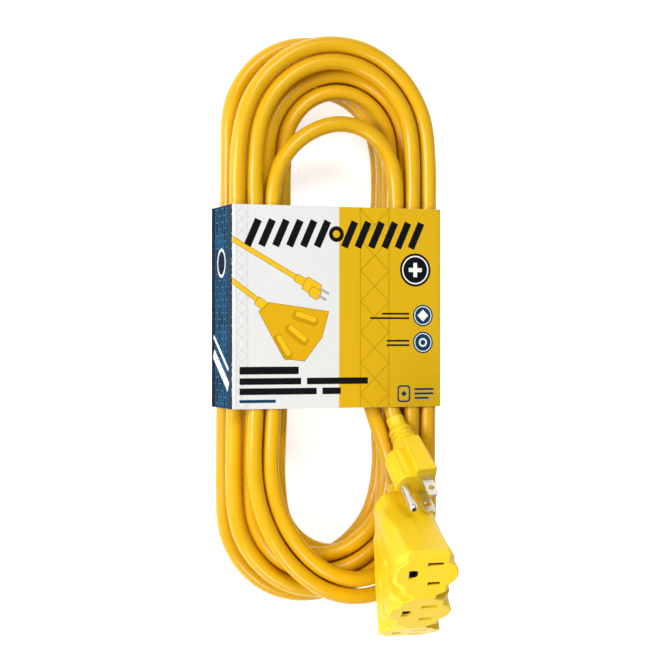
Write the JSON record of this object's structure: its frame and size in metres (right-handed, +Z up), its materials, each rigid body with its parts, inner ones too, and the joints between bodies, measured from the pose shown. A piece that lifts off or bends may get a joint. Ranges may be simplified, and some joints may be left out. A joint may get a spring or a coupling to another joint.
{
  "type": "extension cord",
  "caption": "Heavy-duty grounded extension cord wound as a long hank in a card sleeve, with a moulded plug at one end and a fan-shaped multi-outlet connector at the other.",
  "frame": {"origin": "middle of the lying hank's footprint, on the floor", "axes": "+Y along the hank, away from the plug and the connector; +Z up from the floor; +X towards the side where the plug and the connector lie"},
  "size_m": [0.1296, 0.3507, 0.1294],
  "materials": {
    "jacket": "yellow soft vinyl jacket with a low gloss",
    "moulding": "moulded yellow vinyl, satin to glossy",
    "card": "printed and varnished card",
    "blade_metal": "bright nickel-plated brass",
    "strip_metal": "stamped brass",
    "bridge": "unpainted nylon",
    "black_insulation": "black insulation",
    "white_insulation": "white insulation",
    "green_insulation": "green insulation"
  },
  "bodies": {
    "cord_set": {"cord_hank": "jacket", "cord_plug_end": "jacket", "cord_connector_end": "jacket", "plug_body": "moulding", "plug_strain_relief": "moulding", "plug_bridge": "bridge", "line_blade": "blade_metal", "neutral_blade": "blade_metal", "ground_pin": "blade_metal", "plug_line_wire": "black_insulation", "plug_neutral_wire": "white_insulation", "plug_ground_wire": "green_insulation", "connector_body": "moulding", "connector_strain_relief": "moulding", "contact_carrier": "bridge", "line_bus": "strip_metal", "neutral_bus": "strip_metal", "ground_bus": "strip_metal", "connector_line_wire": "black_insulation", "connector_neutral_wire": "white_insulation", "connector_ground_wire": "green_insulation"},
    "sleeve": {"sleeve": "card"}
  },
  "joints": [
    {"name": "sleeve_slide", "type": "slide", "parent": "cord_set", "child": "sleeve", "axis": [0, 1, 0], "range_m": [0, 0.225]}
  ]
}
